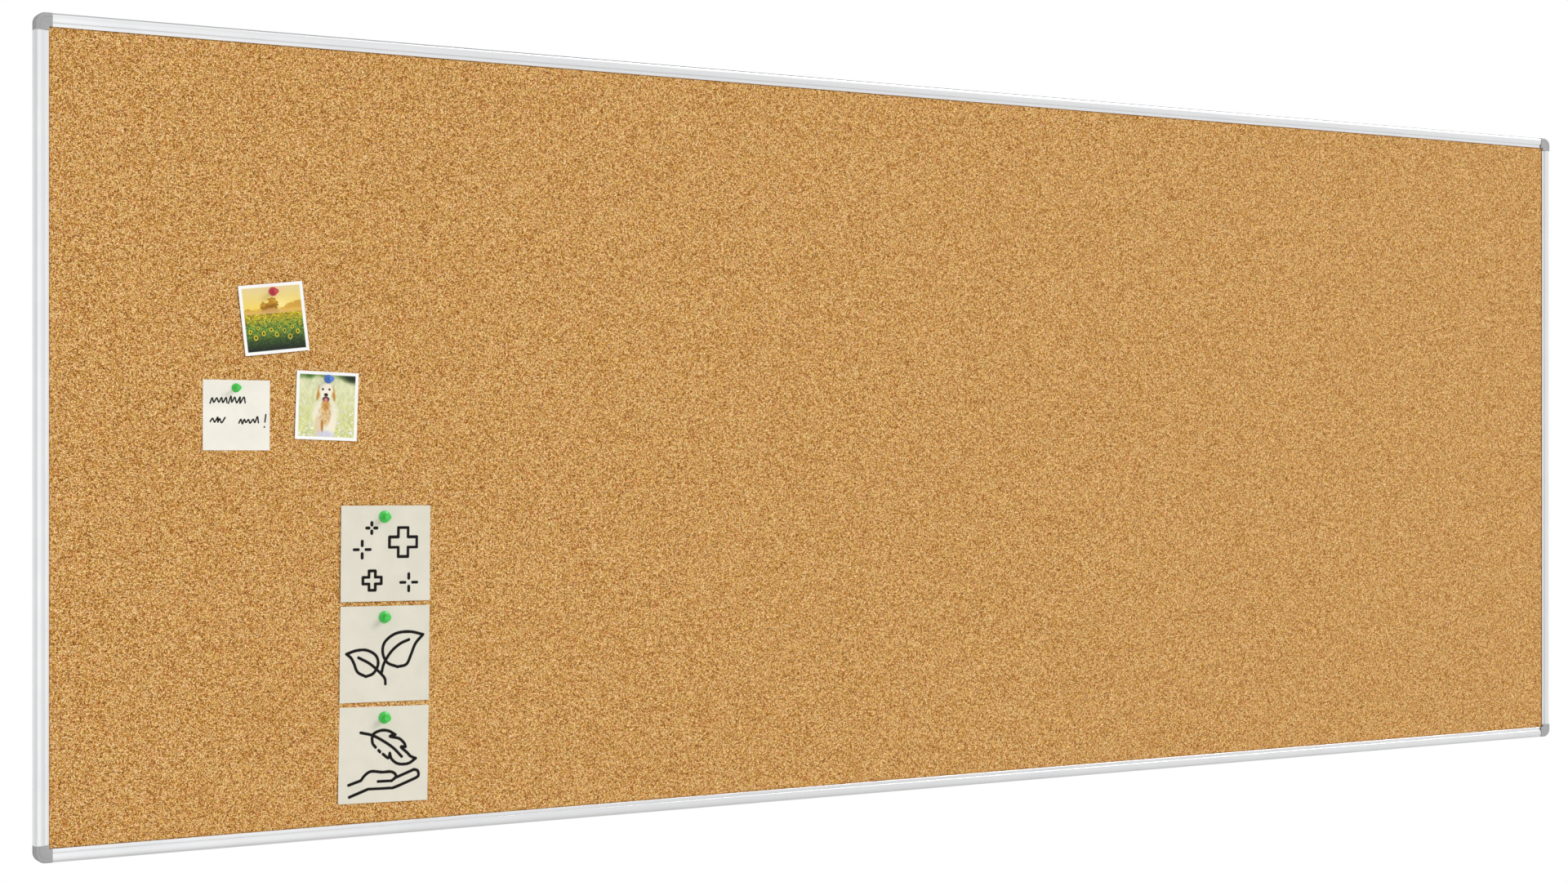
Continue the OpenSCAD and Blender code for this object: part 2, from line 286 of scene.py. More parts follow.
def ramp(tree, value, stops, easing="LINEAR"):
    """A ramp through stops, each a place from 0 to 1 and an sRGB colour or a plain level."""
    made = node(tree, "ValToRGB", {0: value})
    made.color_ramp.interpolation = easing
    elements = made.color_ramp.elements
    while len(elements) < len(stops):
        elements.new(1.0)
    for element, (at, colour) in zip(elements, stops):
        element.position = at
        element.color = (*(linear(colour) if isinstance(colour, tuple) else (colour,) * 3), 1)
    return made.outputs["Color"]


def profile(tree, value, stops):
    """A smooth function of a value from -1 to 1, through (value, level) stops."""
    places = [((at + 1) / 2, level) for at, level in stops]
    return ramp(tree, map_range(tree, value, (-1.0, 1.0), (0.0, 1.0)), places, "EASE")


def mix(tree, amount, a, b, blend="MIX"):
    """Blends two colours, each a socket or an sRGB colour."""
    colours = [(*linear(c), 1) if isinstance(c, tuple) else c for c in (a, b)]
    inputs = {0: amount, 6: colours[0], 7: colours[1]}
    return node(tree, "Mix", inputs, data_type="RGBA", blend_type=blend).outputs[2]


def parted(tree, colour):
    """The red, green and blue of a colour."""
    return node(tree, "SeparateColor", {0: colour}).outputs


def parted_vector(tree, vector):
    return node(tree, "SeparateXYZ", {0: vector}).outputs


def surface(tree, shader, colour, roughness, height, relief_mm, strength, **constants):
    """Gives a shader its colour, roughness and bump, and the values that are the same all over."""
    put(tree, shader.inputs["Base Color"], colour)
    put(tree, shader.inputs["Roughness"], roughness)
    bump = node(tree, "Bump", {"Height": height, "Distance": relief_mm * MM, "Strength": strength})
    put(tree, shader.inputs["Normal"], bump.outputs[0])
    for name, value in constants.items():
        title = " ".join(w.upper() if w == "ior" else w.capitalize() for w in name.split("_"))
        shader.inputs[title].default_value = value


# ---- Materials ----


def cork_looks(tree, shader):
    """Pressed cork: granules of 1 to 3 mm with dark gaps, bark specks and pale chips."""
    mm = object_mm(tree)
    swirl = noise(tree, mm, 0.9, output="Color")
    shift = node(tree, "VectorMath", {0: swirl, 1: (0.5, 0.5, 0.5)}, operation="SUBTRACT").outputs[0]
    inputs = {0: shift, 1: (1.9, 1.9, 1.9), 2: mm}
    warped = node(tree, "VectorMath", inputs, operation="MULTIPLY_ADD").outputs[0]

    granules_per_mm = 0.62
    chips = voronoi(tree, warped, granules_per_mm)
    large = parted(tree, chips["Color"])
    small = parted(tree, voronoi(tree, warped, 1.50)["Color"])
    grit = noise(tree, warped, 2.0, 2.0, 0.6)
    edge = voronoi(tree, warped, granules_per_mm, "DISTANCE_TO_EDGE")["Distance"]
    tone = weighted(tree, (large[0], 0.20), (small[0], 0.40), (grit, 0.60), (edge, 0.90))
    tone = map_range(tree, tone, (0.46, 0.95), (0.0, 1.0))
    stops = [(0.00, (90, 32, 0)), (0.22, (160, 82, 0)), (0.46, (218, 149, 38))]
    stops += [(0.68, (249, 190, 96)), (0.90, (253, 221, 152)), (1.00, (255, 234, 186))]
    colour = ramp(tree, tone, stops)

    gap = map_range(tree, edge, (0.0, 0.13), (1.0, 0.0), smooth=True)
    gap_here = map_range(tree, small[1], (0.20, 0.70), (0.15, 1.0))
    colour = mix(tree, calc(tree, "MULTIPLY", gap, gap_here), colour, (110, 56, 4))

    inside = map_range(tree, chips["Distance"], (0.30, 0.46), (1.0, 0.0), smooth=True)
    bark = calc(tree, "MULTIPLY", inside, calc(tree, "LESS_THAN", large[0], 0.20))
    pale = calc(tree, "MULTIPLY", inside, calc(tree, "GREATER_THAN", large[0], 0.90))
    colour = mix(tree, calc(tree, "MULTIPLY", bark, 0.9), colour, (72, 30, 4))
    colour = mix(tree, calc(tree, "MULTIPLY", pale, 0.60), colour, (252, 226, 184))

    tint = parted(tree, noise(tree, mm, 0.16, output="Color"))
    for part, tinge in ((tint[0], (255, 236, 244)), (tint[1], (248, 252, 214))):
        patch = map_range(tree, part, (0.50, 0.66), (0.0, 0.7), smooth=True)
        colour = mix(tree, patch, colour, tinge, "MULTIPLY")
    # Painted shadow: the cork is blended toward dark brown within 1.8 mm of the rails' inner edges,
    # standing in for the shade their lips cast.
    parts = parted_vector(tree, mm)
    from_rails = [
        calc(tree, "SUBTRACT", half - RAIL_W, calc(tree, "ABSOLUTE", parts[axis]))
        for half, axis in ((BOARD_HALF_W, "X"), (BOARD_HALF_H, "Z"))
    ]
    by_rail = calc(tree, "MINIMUM", *from_rails)
    shadow = map_range(tree, by_rail, (0.2, 1.8), (0.45, 0.0), smooth=True)
    colour = mix(tree, shadow, colour, (104, 64, 26))

    pillow = map_range(tree, edge, (0.0, 0.30), (0.0, 1.0), smooth=True)
    height = calc(tree, "MULTIPLY_ADD", grit, 0.9, pillow)
    rough = map_range(tree, tone, (0.0, 1.0), (0.95, 0.72))
    surface(tree, shader, colour, rough, height, 0.20, 0.75, specular_ior_level=0.25)


def aluminium_looks(tree, shader, stretch):
    """Satin anodised aluminium with fine drawn lines along the extrusion."""
    lines = noise(tree, object_mm(tree, stretch), 1.0, 4.0, 0.65)
    clouds = noise(tree, object_mm(tree), 0.012, 3.0)
    shade = weighted(tree, (lines, 0.5), (clouds, 0.5))
    colour = ramp(tree, shade, [(0.25, (219, 220, 221)), (0.75, (234, 234, 235))])
    rough = map_range(tree, shade, (0.2, 0.8), (0.30, 0.18))
    surface(tree, shader, colour, rough, lines, 0.015, 0.6, metallic=1.0)


def moulded_looks(tree, shader, dark, light, grain_mm, roughness):
    """Moulded plastic with a fine spark-eroded grain and slight mottling."""
    mm = object_mm(tree)
    grain = noise(tree, mm, 1.0 / grain_mm, 3.0, 0.6)
    mottle = noise(tree, mm, 0.08, 3.0)
    colour = ramp(tree, weighted(tree, (mottle, 0.45), (grain, 0.55)), [(0.3, dark), (0.7, light)])
    rough = map_range(tree, grain, (0.3, 0.7), (roughness - 0.06, roughness + 0.08))
    surface(tree, shader, colour, rough, grain, 0.03, 0.7, specular_ior_level=0.45)


def pin_looks(tree, shader, deep, bright):
    """Glossy pigmented plastic, with a faint flow pattern and a soft orange peel."""
    mm = object_mm(tree)
    colour = ramp(tree, noise(tree, mm, 0.22, 3.0, 0.6), [(0.3, deep), (0.7, bright)])
    peel = noise(tree, mm, 1.1)
    rough = map_range(tree, peel, (0.3, 0.7), (0.30, 0.42))
    coat = {"coat_weight": 0.12, "coat_roughness": 0.2}
    surface(tree, shader, colour, rough, peel, 0.02, 0.5, specular_ior_level=0.45, **coat)


def steel_looks(tree, shader, roughness):
    """Bright steel with fine turning marks across its length."""
    marks = noise(tree, object_mm(tree, (0.6, 6.0, 0.6)), 1.0, 3.0, 0.6)
    spots = noise(tree, object_mm(tree), 0.7, 3.0)
    colour = ramp(tree, spots, [(0.3, (190, 192, 195)), (0.7, (222, 223, 225))])
    rough = map_range(tree, marks, (0.3, 0.7), (roughness - 0.07, roughness + 0.09))
    surface(tree, shader, colour, rough, marks, 0.01, 0.6, metallic=1.0)


def fibre_looks(tree, shader, dark, light, along):
    """Pressed wood fibres: fine crossing strands over soft clouds, with a few dark strands."""
    first, second = (noise(tree, object_mm(tree, way), 1.0, 3.0, 0.65) for way in (along, along[::-1]))
    clouds = noise(tree, object_mm(tree), 0.02, 3.0)
    strands = calc(tree, "MULTIPLY", calc(tree, "ADD", first, second), 0.5)
    shade = weighted(tree, (strands, 0.65), (clouds, 0.35))
    colour = ramp(tree, shade, [(0.35, dark), (0.65, light)])
    fleck = map_range(tree, first, (0.66, 0.74), (0.0, 0.35), smooth=True)
    colour = mix(tree, fleck, colour, tuple(0.7 * c for c in dark))
    surface(tree, shader, colour, 0.88, strands, 0.08, 0.6, specular_ior_level=0.2)


def paper_looks(tree, shader, gloss):
    """Paper that carries its own picture, with pulp mottling, and a coat if it is a photo print."""
    mm = object_mm(tree)
    picture = node(tree, "VertexColor", layer_name="picture").outputs["Color"]
    pulp = noise(tree, mm, 0.9, 4.0, 0.7)
    shade = weighted(tree, (noise(tree, mm, 0.06), 0.5), (pulp, 0.5))
    least = 250 if gloss else 246
    tone = ramp(tree, shade, [(0.3, (least, least, least)), (0.7, (255, 255, 255))])
    colour = mix(tree, 1.0, picture, tone, "MULTIPLY")
    relief, rough, shine, coat = (0.01, 0.5, 0.25, 0.06) if gloss else (0.03, 0.85, 0.15, 0.0)
    constants = {"specular_ior_level": shine, "coat_weight": coat, "coat_roughness": 0.2}
    surface(tree, shader, colour, rough, pulp, relief, 0.5, **constants)


# ---- Mesh building ----


def place(right, up, out):
    """A point in the row frame in metres."""
    return (right * MM, -out * MM, up * MM)


def add_object(name, data):
    made = bpy.data.objects.new(name, data)
    bpy.context.scene.collection.objects.link(made)
    return made


def mesh_of(name, points, faces):
    """A mesh of (right, up, out) points, with its normals outwards."""
    mesh = bpy.data.meshes.new(name)
    mesh.from_pydata([place(*p) for p in points], [], faces)
    bm = bmesh.new()
    bm.from_mesh(mesh)
    bmesh.ops.remove_doubles(bm, verts=bm.verts, dist=1e-7)
    bmesh.ops.recalc_face_normals(bm, faces=bm.faces)
    bm.to_mesh(mesh)
    bm.free()
    return mesh


def add_piece(node_name, points, faces, body, material, slot, sharp_deg=32.0):
    """A piece that rides on a body and stands for a CAD node."""
    mesh = mesh_of(node_name + "_shape", points, faces)
    mesh.shade_smooth()
    mesh.set_sharp_from_angle(angle=math.radians(sharp_deg))
    mesh.materials.append(material)
    piece = add_object(node_name + "_shape", mesh)
    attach(piece, body)
    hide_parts(node_name)
    return piece


def arc(centre, radius, start_deg, end_deg, steps):
    """Points on an arc, both ends among them."""
    turns = np.radians(np.linspace(start_deg, end_deg, steps + 1))
    return [(centre[0] + radius * math.cos(t), centre[1] + radius * math.sin(t)) for t in turns]


def swept(loop, stations, at):
    """Faces between copies of a closed loop. at(station, point) places a loop's point."""
    points = [at(s, p) for s in stations for p in loop]
    size = len(loop)
    faces = []
    for s in range(len(stations) - 1):
        for i in range(size):
            a, b = s * size + i, s * size + (i + 1) % size
            faces.append((a, b, b + size, a + size))
    return points, faces


def end_faces(loops, first):
    """Triangles that close the flat section between loops, the first point of which is first."""
    flat = [[(p[0], p[1], 0.0) for p in loop] for loop in loops]
    return [tuple(first + i for i in triangle) for triangle in tessellate_polygon(flat)]


def lathed(outline, centre, segments=48):
    """Turns an outline of (radius, out) round an axis that stands out from the wall at centre."""
    points, rings = [], []
    for radius, out in outline:
        if radius < 1e-6:
            rings.append([len(points)] * segments)
            points.append((*centre, out))
        else:
            rings.append(list(range(len(points), len(points) + segments)))
            points += [(*p, out) for p in arc(centre, radius, 0, 360, segments)[:-1]]
    faces = []
    for low, high in zip(rings, rings[1:]):
        for k in range(segments):
            corners = [low[k], low[(k + 1) % segments], high[(k + 1) % segments], high[k]]
            face = tuple(dict.fromkeys(corners))
            if len(face) > 2:
                faces.append(face)
    return points, faces


def joined(*parts):
    """One list of points and one of faces from several."""
    points, faces = [], []
    for part_points, part_faces in parts:
        first = len(points)
        points += part_points
        faces += [tuple(first + i for i in face) for face in part_faces]
    return points, faces


def without_spare_points(points, faces):
    """The points that faces use, in the same order, and the faces numbered to match."""
    used = sorted({v for face in faces for v in face})
    renumbered = {v: n for n, v in enumerate(used)}
    return [points[v] for v in used], [tuple(renumbered[v] for v in face) for face in faces]


def cut_away(piece, points, faces):
    """Cuts closed shapes out of a piece and keeps the result as its mesh."""
    cutter = add_object("cutter", mesh_of("cutter", points, faces))
    cutting = piece.modifiers.new("cut", "BOOLEAN")
    cutting.operation = "DIFFERENCE"
    cutting.solver = "EXACT"
    cutting.object = cutter
    depsgraph = bpy.context.evaluated_depsgraph_get()
    result = bpy.data.meshes.new_from_object(piece.evaluated_get(depsgraph))
    piece.modifiers.clear()
    piece.data = result
    bpy.data.objects.remove(cutter)


# ---- Frame ----


def rail_loops():
    """The rail's outline and its chamber, as loops of (across, out)."""
    crown = (BAND_U / 2, RAIL_D - CROWN_R)
    rise = math.sqrt((CROWN_R - SHOULDER_R) ** 2 - (crown[0] - SHOULDER_R) ** 2)
    shoulder = (SHOULDER_R, crown[1] + rise)
    shoulder_deg = math.degrees(math.atan2(rise, SHOULDER_R - crown[0]))
    edge_r = RAIL_EDGE_R
    crown_end = math.acos((BAND_U - edge_r - crown[0]) / (CROWN_R - edge_r))
    crown_edge = (BAND_U - edge_r, crown[1] + (CROWN_R - edge_r) * math.sin(crown_end))
    groove_floor = LIP_TOP - GROOVE_D
    groove_end = BAND_U + GROOVE_W
    outline = arc((edge_r, edge_r), edge_r, 270, 180, 3)
    outline += arc(shoulder, SHOULDER_R, 180, shoulder_deg, 10)
    outline += arc(crown, CROWN_R, shoulder_deg, math.degrees(crown_end), 16)[1:]
    outline += arc(crown_edge, edge_r, math.degrees(crown_end), 0, 4)[1:]
    outline += [(BAND_U, groove_floor), (groove_end, groove_floor)]
    outline += [(groove_end, LIP_TOP - 0.12), (groove_end + 0.12, LIP_TOP)]
    outline += arc((RAIL_W - LIP_EDGE_R, LIP_TOP - LIP_EDGE_R), LIP_EDGE_R, 90, 0, 5)
    outline += [(RAIL_W, SLOT_TOP), (SLOT_U, SLOT_TOP), (SLOT_U, REAR_LIP_T), (RAIL_W, REAR_LIP_T)]
    outline += arc((RAIL_W - edge_r, edge_r), edge_r, 0, -90, 3)
    low, high = RAIL_WALL, RAIL_WALL + CHAMBER_W
    chamber = [(low, RAIL_WALL), (high, RAIL_WALL), (high, CHAMBER_TOP), (low, CHAMBER_TOP)]
    return outline, chamber


def add_rail(side, material):
    """One extruded rail, with the countersunk hole for a corner screw near each end."""
    along_x = side in ("top", "bottom")
    sign = 1 if side in ("top", "right") else -1
    half = (BOARD_HALF_W if along_x else BOARD_HALF_H) - CORNER_LEN - RAIL_END_GAP
    outer = BOARD_HALF_H if along_x else BOARD_HALF_W

    def at(station, point):
        across = sign * (outer - point[0])
        return (station, across, point[1]) if along_x else (across, station, point[1])

    outline, chamber = rail_loops()
    ends = (-half, half)
    skin = swept(outline, ends, at)
    hollow = swept(chamber, ends, at)
    points, faces = joined(skin, hollow)
    outline_n, chamber_n = len(outline), len(chamber)
    for end in (0, 1):
        order = list(range(end * outline_n, (end + 1) * outline_n))
        order += [2 * outline_n + end * chamber_n + i for i in range(chamber_n)]
        faces += [tuple(order[i] for i in face) for face in end_faces([outline, chamber], 0)]
    name, slot = "frame_rail_" + side, "frame_aluminium"
    piece = add_piece(name, points, faces, "board", material, slot, sharp_deg=20.0)

    sink = [(0, -1), (SCREW_SINK_R, -1), (SCREW_SINK_R, 0), (SCREW_HOLE_R, SCREW_SINK_D)]
    sink += [(SCREW_HOLE_R, RAIL_WALL + 1), (0, RAIL_WALL + 1)]
    screw_at = half + CORNER_LEN + RAIL_END_GAP - JOINT_SCREW_ALONG
    holes = [lathed(sink, at(s * screw_at, (JOINT_SCREW_U, 0))[:2], 40) for s in (-1, 1)]
    cut_away(piece, *joined(*holes))


def cap_section():
    """Closed section of a corner cap: in from its outer edge, and out from the wall."""
    r = CAP_SHOULDER_R
    shoulder_top = CAP_TOP - 0.12
    section = [(CAP_SKIRT_T, CAP_SKIRT_FOOT), (0.2, CAP_SKIRT_FOOT), (0.0, CAP_SKIRT_FOOT + 0.2)]
    section += arc((r, shoulder_top - r), r, 180, 96, 9)
    section += [(3.4, CAP_TOP - 0.01), (4.3, CAP_TOP), (4.8, CAP_TOP - 0.03)]
    section += [(CAP_LINE_U, CAP_TOP - 0.14), (CAP_LINE_U + 0.05, CAP_TOP - CAP_LINE_D)]
    line_end = CAP_LINE_U + CAP_LINE_W
    section += [(line_end - 0.05, CAP_TOP - CAP_LINE_D), (line_end, CAP_TOP - 0.14)]
    section += [(line_end + 0.15, CAP_TOP - 0.03), (line_end + 0.6, CAP_TOP - 0.01), (11.0, CAP_TOP)]
    section += arc((RAIL_W - LIP_EDGE_R, CAP_TOP - LIP_EDGE_R), LIP_EDGE_R, 90, 0, 5)
    section += [(RAIL_W, SLOT_TOP), (RAIL_W - CAP_LIP_T, SLOT_TOP)]
    section += [(RAIL_W - CAP_LIP_T, CAP_UNDER), (CAP_SKIRT_T, CAP_UNDER)]
    return section


def add_cap(up_name, right_name, material):
    """One moulded corner cap with its two pegs."""
    up = 1 if up_name == "top" else -1
    right = 1 if right_name == "right" else -1
    tightest_r = 0.6
    end_bevel = 0.2
    steps = 20

    def at(station, point):
        """Station 0 and the last one are the two ends; those between go round the corner."""
        inset, out = point
        middle = max(CORNER_R, inset + tightest_r)
        if station in (0, 1, steps + 3, steps + 4):
            ended = station in (0, steps + 4)
            reach = CORNER_LEN if ended else CORNER_LEN - end_bevel
            if ended and out > CAP_TOP - 1.0:
                out -= end_bevel
            a, b = (reach, inset) if station < 2 else (inset, reach)
        else:
            turn = math.radians(270 - 90 * (station - 2) / steps)
            a = middle + (middle - inset) * math.cos(turn)
            b = middle + (middle - inset) * math.sin(turn)
        return (right * (BOARD_HALF_W - a), up * (BOARD_HALF_H - b), out)

    section = cap_section()
    points, faces = swept(section, range(steps + 5), at)
    last = (steps + 4) * len(section)
    faces += end_faces([section], 0) + end_faces([section], last)
    foot = CAP_UNDER - PEG_L
    peg = [(0, foot), (PEG_R - 0.4, foot), (PEG_R - 0.1, foot + 0.12), (PEG_R, foot + 0.4)]
    peg += [(PEG_R, CAP_UNDER - 0.3), (PEG_R, CAP_UNDER + 0.3), (0, CAP_UNDER + 0.3)]
    pegs = []
    for a, b in ((PEG_ALONG, PEG_U), (PEG_U, PEG_ALONG)):
        pegs.append(lathed(peg, (right * (BOARD_HALF_W - a), up * (BOARD_HALF_H - b)), 32))
    points, faces = joined((points, faces), *pegs)
    corner = "cap_" + up_name + "_" + right_name
    add_piece("corner_" + corner, points, faces, corner, material, "cap_plastic", sharp_deg=28.0)


def soften_edges(node_name, width_mm):
    """Rounds a CAD node's edges in the render, with its own mesh left as it is."""
    node_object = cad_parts[node_name]
    weld = node_object.modifiers.new("weld", "WELD")
    weld.merge_threshold = 1e-6
    bevel = node_object.modifiers.new("bevel", "BEVEL")
    bevel.width = width_mm * MM
    bevel.segments = 2
    bevel.limit_method = "ANGLE"
    bevel.angle_limit = math.radians(40)
    bevel.use_clamp_overlap = True


def dress_node(node_name, materials, slot):
    """Gives a CAD node that stays in view its material."""
    node_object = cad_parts[node_name]
    node_object.data.materials.clear()
    node_object.data.materials.append(materials[slot])


# ---- Cork ----


def pin_places():
    """Where each needle goes in, by the pin's name, as (right, up)."""
    places = {}
    for name in PIN_SLOTS:
        low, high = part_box(name + "_pin_head")
        places[name] = ((low.x + high.x) / 2 / MM, (low.z + high.z) / 2 / MM)
    return places


def grid_lines(board_half, pins_at):
    """Coordinates of the cork's grid one way, through its notches' edges and round each pin."""
    half, notch = board_half - PANEL_U, board_half - NOTCH_U
    even = np.linspace(-half, half, round(2 * half / CORK_CELL) + 1)
    fixed = [-half, -notch, notch, half]
    fixed += [at + side * NEEDLE_HOLE_CELL for at in pins_at for side in (-1, 1)]
    kept = [x for x in even if min(abs(x - f) for f in fixed) > 0.3 * CORK_CELL]
    return sorted(set(round(x, 4) for x in kept + fixed))


def hole_ring(centre, out):
    """Points round a needle hole, the first of them half a quarter turn before straight right."""
    return [(*p, out) for p in arc(centre, NEEDLE_HOLE_R, -45, 315, HOLE_SIDES)[:-1]]


def cell_loop(column, row, columns):
    """The four points of a grid's cell, with the grid numbered row by row."""
    a = row * columns + column
    return (a, a + 1, a + 1 + columns, a + columns)


def cork_cells(xs, zs, pins):
    """The grid's cells that the cork fills, each with the pin whose hole is in it, or None."""
    cells = {}
    for j in range(len(zs) - 1):
        for i in range(len(xs) - 1):
            x, z = (xs[i] + xs[i + 1]) / 2, (zs[j] + zs[j + 1]) / 2
            if abs(x) > BOARD_HALF_W - NOTCH_U and abs(z) > BOARD_HALF_H - NOTCH_U:
                continue
            near = (p for p in pins if abs(x - p[0]) < 0.1 and abs(z - p[1]) < 0.1)
            cells[i, j] = next(near, None)
    return cells


def add_cork(material):
    """The cork sheet: a slightly uneven face, a notch at each corner and a hole at each needle."""
    rng = np.random.default_rng(SEED)
    pins = list(pin_places().values())
    xs = grid_lines(BOARD_HALF_W, [x for x, _ in pins])
    zs = grid_lines(BOARD_HALF_H, [z for _, z in pins])
    grid_x, grid_z = np.meshgrid(xs, zs)
    relief = smooth_noise(grid_x, grid_z, 45.0, rng) + 0.5 * smooth_noise(grid_x, grid_z, 18.0, rng)
    front_out = CORK_FACE - CORK_RELIEF * relief / 1.5
    points = list(zip(grid_x.ravel(), grid_z.ravel(), front_out.ravel()))
    back = len(points)
    points += [(x, z, CORK_BACK) for x, z, _ in points]
    cells = cork_cells(xs, zs, pins)
    loops = {cell: cell_loop(*cell, len(xs)) for cell in sorted(cells)}
    faces = []
    for cell, loop in loops.items():
        if not cells[cell]:
            faces += [loop, tuple(back + v for v in reversed(loop))]
    for (i, j), loop in loops.items():
        beyond = ((i, j - 1), (i + 1, j), (i, j + 1), (i - 1, j))
        for other, p, q in zip(beyond, loop, loop[1:] + loop[:1]):
            if other not in cells:
                faces.append((p, q, back + q, back + p))
    for cell, pin in cells.items():
        if not pin:
            continue
        corners = loops[cell][1:] + loops[cell][:1]
        face_out = float(np.mean([points[c][2] for c in corners]))
        first = len(points)
        points += hole_ring(pin, face_out) + hole_ring(pin, CORK_BACK)
        faces += ring_to_corners(first, corners)
        faces += ring_to_corners(first + HOLE_SIDES, [back + c for c in corners])
        for k in range(HOLE_SIDES):
            a, b = first + k, first + (k + 1) % HOLE_SIDES
            faces.append((a, b, b + HOLE_SIDES, a + HOLE_SIDES))
    points, faces = without_spare_points(points, faces)
    add_piece("cork_sheet", points, faces, "board", material, "cork", sharp_deg=40.0)


def ring_to_corners(first, corners):
    """Triangles between a hole's ring and the four corners round it."""
    faces = []
    quarter = HOLE_SIDES // 4
    for side, corner in enumerate(corners):
        ring = [first + (quarter * side + k) % HOLE_SIDES for k in range(quarter + 1)]
        faces += [(corner, a, b) for a, b in zip(ring, ring[1:])]
        faces.append((corner, ring[-1], corners[(side + 1) % 4]))
    return faces


def smooth_noise(x, y, cell, rng):
    """Smooth random values from 0 to 1 at points x, y, with features about cell wide."""
    u, v = (x - x.min()) / cell, (y - y.min()) / cell
    lattice = rng.random((int(v.max()) + 3, int(u.max()) + 3))
    i, j = np.floor(u).astype(int), np.floor(v).astype(int)
    s, t = u - i, v - j
    s, t = s * s * (3 - 2 * s), t * t * (3 - 2 * t)
    low = lattice[j, i] * (1 - s) + lattice[j, i + 1] * s
    high = lattice[j + 1, i] * (1 - s) + lattice[j + 1, i + 1] * s
    return low * (1 - t) + high * t


# ---- Push pins ----


def head_profile(flange_r, top_r, foot):
    """Radius and distance from the wall of a pin's head, from its foot out to its top."""
    outline = [(0, foot), (flange_r - 0.5, foot)]
    outline += [(flange_r - 0.5 + p[0], foot + p[1]) for p in arc((0, 0.5), 0.5, -90, 60, 6)]
    grip_foot = FLANGE_T + 0.55
    grip_end = HEAD_H - 1.7
    for t in np.linspace(0, 1, 17):
        radius = top_r * (0.70 + 0.30 * abs(2 * t - 1) ** 1.9)
        outline.append((radius, foot + grip_foot + t * (grip_end - grip_foot)))
    outline[8:8] = [(0.55 * flange_r + 0.45 * top_r, foot + FLANGE_T - 0.22)]
    outline[9:9] = [(top_r * 1.06, foot + FLANGE_T + 0.12)]
    top_edge = arc((top_r - 0.55, foot + HEAD_H - 0.55), 0.55, -35, 80, 7)
    outline += top_edge + [(0.62 * top_r, foot + HEAD_H - 0.02), (0.3 * top_r, foot + HEAD_H - 0.10)]
    return [*outline, (0, foot + HEAD_H - 0.12)]


def add_pin(name, centre, materials):
    """One push pin: its turned head on the paper, and its needle."""
    body, head = name + "_pin", name + "_pin_head"
    slot = PIN_SLOTS[name]
    low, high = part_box(head)
    foot = -high.y / MM
    flange_r = (high.x - low.x) / 2 / MM
    top_r = flange_r * (0.571 if flange_r > 6.5 else 0.582)
    shape = lathed(head_profile(flange_r, top_r, foot), centre, 56)
    add_piece(head, *shape, body, materials[slot], slot, sharp_deg=38.0)
    point = foot - NEEDLE_L
    outline = [(0, point), (0.06, point + 0.03), (NEEDLE_R * 0.55, point + NEEDLE_TIP * 0.45)]
    outline += [(NEEDLE_R * 0.93, point + NEEDLE_TIP * 0.9), (NEEDLE_R, point + NEEDLE_TIP * 1.2)]
    outline += [(NEEDLE_R, foot + 2.0), (0, foot + 2.0)]
    slot = "needle_steel"
    add_piece(body + "_needle", *lathed(outline, centre, 20), body, materials[slot], slot)


# ---- Pictures on the papers ----


def linear(colour):
    """An sRGB colour, each part from 0 to 255, as linear values."""
    c = np.asarray(colour, float) / 255
    return np.where(c <= 0.04045, c / 12.92, ((c + 0.055) / 1.055) ** 2.4)


def blend(paint, mask, colour):
    """Lays a colour over the paint, or over a plain colour, where the mask is 1."""
    mask = mask[..., None]
    return np.asarray(paint, float) * (1 - mask) + np.asarray(colour, float) * mask


def soft_step(value, start, end):
    t = np.clip((value - start) / (end - start), 0, 1)
    return t * t * (3 - 2 * t)


def oval(x, y, centre, radii, turn_deg, softness):
    """Mask of an ellipse, 1 inside and fading over its edge."""
    t = math.radians(turn_deg)
    dx, dy = x - centre[0], y - centre[1]
    u = (dx * math.cos(t) + dy * math.sin(t)) / radii[0]
    v = (-dx * math.sin(t) + dy * math.cos(t)) / radii[1]
    return 1 - soft_step(np.hypot(u, v), 1 - softness, 1 + softness)


def dabbed(paint, p, q, dabs):
    """Soft ellipses laid over the paint: centre, radii, turn, softness, strength and colour."""
    for centre, radii, turn, softness, strength, colour in dabs:
        paint = blend(paint, strength * oval(p, q, centre, radii, turn, softness), colour)
    return paint


def curve_through(knots, steps=8):
    """A smooth line through the knots, as a list of points."""
    knots = [np.array(k, float) for k in knots]
    knots = [2 * knots[0] - knots[1], *knots, 2 * knots[-1] - knots[-2]]
    line = []
    for a, b, c, d in zip(knots, knots[1:], knots[2:], knots[3:]):
        for t in np.arange(steps) / steps:
            bend = (2 * a - 5 * b + 4 * c - d) * t**2 + (3 * b - a - 3 * c + d) * t**3
            line.append(0.5 * (2 * b + (c - a) * t + bend))
    return [*line, knots[-2]]


def stroke_mask(x, y, lines, width, softness=0.25):
    """Mask of pen strokes with round ends along lines of points."""
    nearest = np.full(x.shape, 1e9)
    for line in lines:
        for (ax, ay), (bx, by) in zip(line, line[1:]):
            dx, dy = bx - ax, by - ay
            along = ((x - ax) * dx + (y - ay) * dy) / max(dx * dx + dy * dy, 1e-9)
            along = np.clip(along, 0, 1)
            nearest = np.minimum(nearest, np.hypot(x - ax - along * dx, y - ay - along * dy))
    return 1 - soft_step(nearest, width / 2 - softness, width / 2 + softness)


def drawn(x, y, lines, width, colour, rng):
    """Ink strokes along lines, on paper with a slight unevenness."""
    paint = np.asarray(colour, float) + 5.0 * (smooth_noise(x, y, 22.0, rng) - 0.5)[..., None]
    return blend(paint, stroke_mask(x, y, lines, width), INK)


